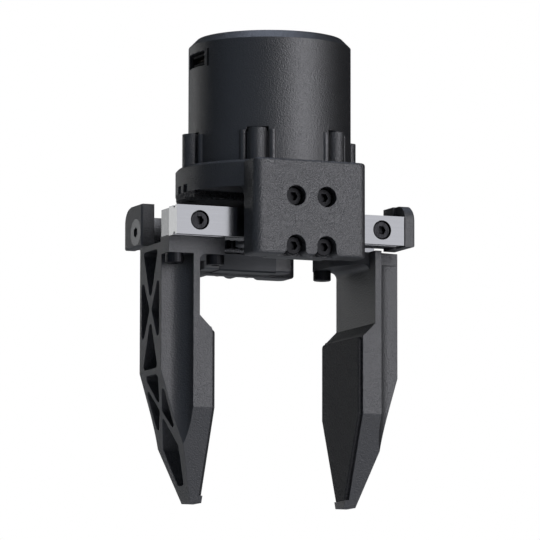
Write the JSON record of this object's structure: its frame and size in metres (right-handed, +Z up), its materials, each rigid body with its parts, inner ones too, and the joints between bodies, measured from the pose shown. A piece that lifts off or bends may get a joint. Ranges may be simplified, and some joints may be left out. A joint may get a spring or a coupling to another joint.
{
  "type": "parallel gripper",
  "caption": "Electric parallel gripper: round motor can, cast housing with a rack-and-pinion drive, rail-guided jaws and tapered truss fingers with rubber pads.",
  "frame": {"origin": "centre of the tool flange's top face, on the motor shaft's axis", "axes": "+Z up along the motor shaft towards the robot, +X along the rails, -Y towards the front block; the fingers point down"},
  "size_m": [0.0784, 0.066, 0.1435],
  "materials": {
    "can": "satin black fine sand-textured coating",
    "casting": "matte black granular anodised casting",
    "finger": "matte black fine-textured anodised aluminium",
    "bracket": "matte black anodised aluminium",
    "flange": "black anodised, turned face",
    "rail_steel": "ground bright steel",
    "rack_steel": "blackened milled steel",
    "carriage_steel": "ground steel",
    "cap_plastic": "moulded",
    "black_oxide": "black-oxide screws",
    "zinc_screw": "light grey plated screw",
    "pad_rubber": "fine-textured",
    "gear_steel": "hardened and ground",
    "bearing_steel": "polished",
    "laminations": "stacked electrical steel",
    "copper": "enamelled copper wire",
    "magnet": "nickel plated",
    "board": "solder mask",
    "chip": "moulded",
    "socket_plastic": "moulded",
    "contact": "gold plated"
  },
  "bodies": {
    "body": {"housing": "casting", "retainer_bar": "bracket", "retainer_screws": "black_oxide", "motor_can": "can", "can_screws": "black_oxide", "tool_flange": "flange", "flange_screws": "black_oxide", "cable_socket": "socket_plastic", "socket_contacts": "contact", "control_board": "board", "board_chips": "chip", "board_standoffs": "contact", "board_screws": "zinc_screw", "stator_core": "laminations", "stator_windings": "copper", "lower_bearing_outer": "bearing_steel", "lower_bearing_balls": "bearing_steel", "upper_bearing_outer": "bearing_steel", "upper_bearing_balls": "bearing_steel", "front_carriage": "carriage_steel", "front_carriage_caps": "cap_plastic", "front_carriage_screws": "black_oxide", "rear_carriage": "carriage_steel", "rear_carriage_caps": "cap_plastic", "rear_carriage_screws": "black_oxide"},
    "spindle": {"motor_shaft": "gear_steel", "lower_bearing_inner": "bearing_steel", "upper_bearing_inner": "bearing_steel", "rotor_hub": "gear_steel", "rotor_magnets": "magnet", "encoder_magnet": "magnet", "pinion": "gear_steel", "pinion_washer": "zinc_screw", "pinion_screw": "black_oxide"},
    "left_jaw": {"front_rail": "rail_steel", "front_rail_screws": "black_oxide", "front_rack": "rack_steel", "front_bracket": "bracket", "front_bracket_screw": "zinc_screw", "left_finger": "finger", "left_finger_screws": "black_oxide", "left_pad": "pad_rubber"},
    "right_jaw": {"rear_rail": "rail_steel", "rear_rail_screws": "black_oxide", "rear_rack": "rack_steel", "rear_bracket": "bracket", "rear_bracket_screw": "zinc_screw", "right_finger": "finger", "right_finger_screws": "black_oxide", "right_pad": "pad_rubber"}
  },
  "joints": [
    {"name": "left_jaw_slide", "type": "slide", "parent": "body", "child": "left_jaw", "axis": [1, 0, 0], "range_m": [-0.02, 0.0205]},
    {"name": "right_jaw_slide", "type": "slide", "parent": "body", "child": "right_jaw", "axis": [1, 0, 0], "range_m": [-0.0205, 0.02]},
    {"name": "spindle_turn", "type": "hinge", "parent": "body", "child": "spindle", "pos_m": [0, 0, -0.0596], "axis": [0, 0, 1], "range_deg": [-119.5, 122.5]}
  ],
  "couplings": [
    {"joint": "right_jaw_slide", "follows": "left_jaw_slide", "ratio": -1},
    {"joint": "spindle_turn", "follows": "left_jaw_slide", "rad_per_m": 104.17}
  ]
}
